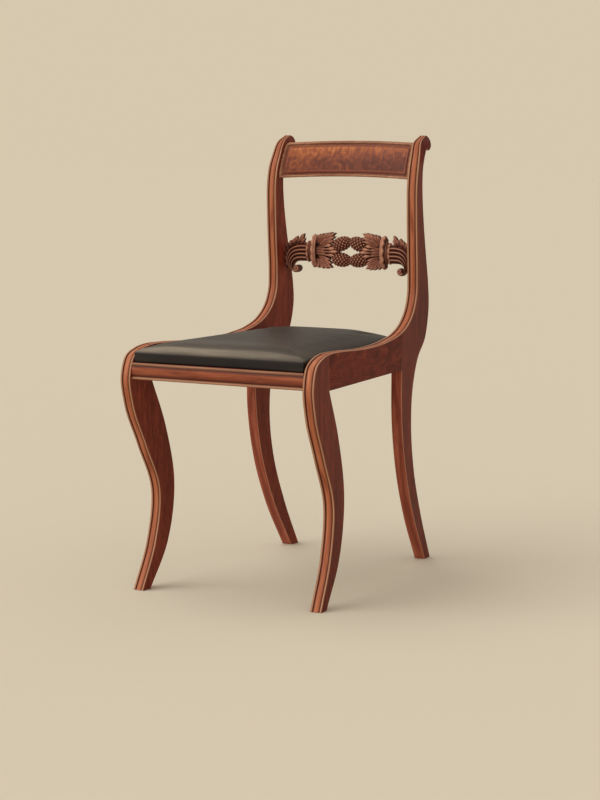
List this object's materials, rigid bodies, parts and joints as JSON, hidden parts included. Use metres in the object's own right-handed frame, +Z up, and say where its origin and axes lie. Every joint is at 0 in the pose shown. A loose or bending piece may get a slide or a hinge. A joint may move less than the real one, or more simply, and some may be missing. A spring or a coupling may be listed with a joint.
{
  "type": "side chair",
  "caption": "Klismos-form mahogany side chair with sabre legs, moulded side frames, scrolled stiles, tablet crest, carved cornucopia stay rail and loose upholstered seat.",
  "frame": {"origin": "on the floor below the middle of the chair's bounding box", "axes": "+Z up; the sitter faces -Y; +X is the chair's left side as the sitter has it"},
  "size_m": [0.406, 0.576, 0.849],
  "materials": {
    "mahogany": "french polish",
    "mahogany_reeded": "french polish",
    "mahogany_carved": "french polish",
    "mahogany_veneer": "french polish, flame figure",
    "beech": "unfinished",
    "webbing": "woven jute",
    "hessian": "plain weave",
    "hair": "curled hair",
    "horsehair_cloth": "satin haircloth",
    "iron": "blued"
  },
  "bodies": {
    "chair_frame": {"front_leg_left": "mahogany", "front_leg_right": "mahogany", "rear_stile_left": "mahogany", "rear_stile_right": "mahogany", "side_rail_left": "mahogany", "side_rail_right": "mahogany", "front_rail": "mahogany_reeded", "rear_rail": "mahogany", "crest_rail": "mahogany", "crest_panel": "mahogany_veneer", "crest_bead_top": "mahogany_reeded", "crest_bead_bottom": "mahogany_reeded", "crest_bead_left": "mahogany_reeded", "crest_bead_right": "mahogany_reeded", "stay_rail": "mahogany_carved", "corner_block_front_left": "beech", "corner_block_front_right": "beech", "corner_block_rear_left": "beech", "corner_block_rear_right": "beech", "seat_cleat_left": "beech", "seat_cleat_right": "beech", "seat_cleat_back": "beech", "block_screws": "iron", "cleat_screws": "iron"},
    "loose_seat": {"seat_frame_front": "beech", "seat_frame_back": "beech", "seat_frame_left": "beech", "seat_frame_right": "beech", "web_strap_long_left": "webbing", "web_strap_long_middle": "webbing", "web_strap_long_right": "webbing", "web_strap_cross_front": "webbing", "web_strap_cross_middle": "webbing", "web_strap_cross_back": "webbing", "web_tacks": "iron", "base_hessian": "hessian", "seat_stuffing": "hair", "seat_cover": "horsehair_cloth", "cover_tacks": "iron"}
  },
  "joints": [
    {"name": "seat_lift", "type": "slide", "parent": "chair_frame", "child": "loose_seat", "axis": [0, 0, 1], "range_m": [0, 0.06]}
  ]
}
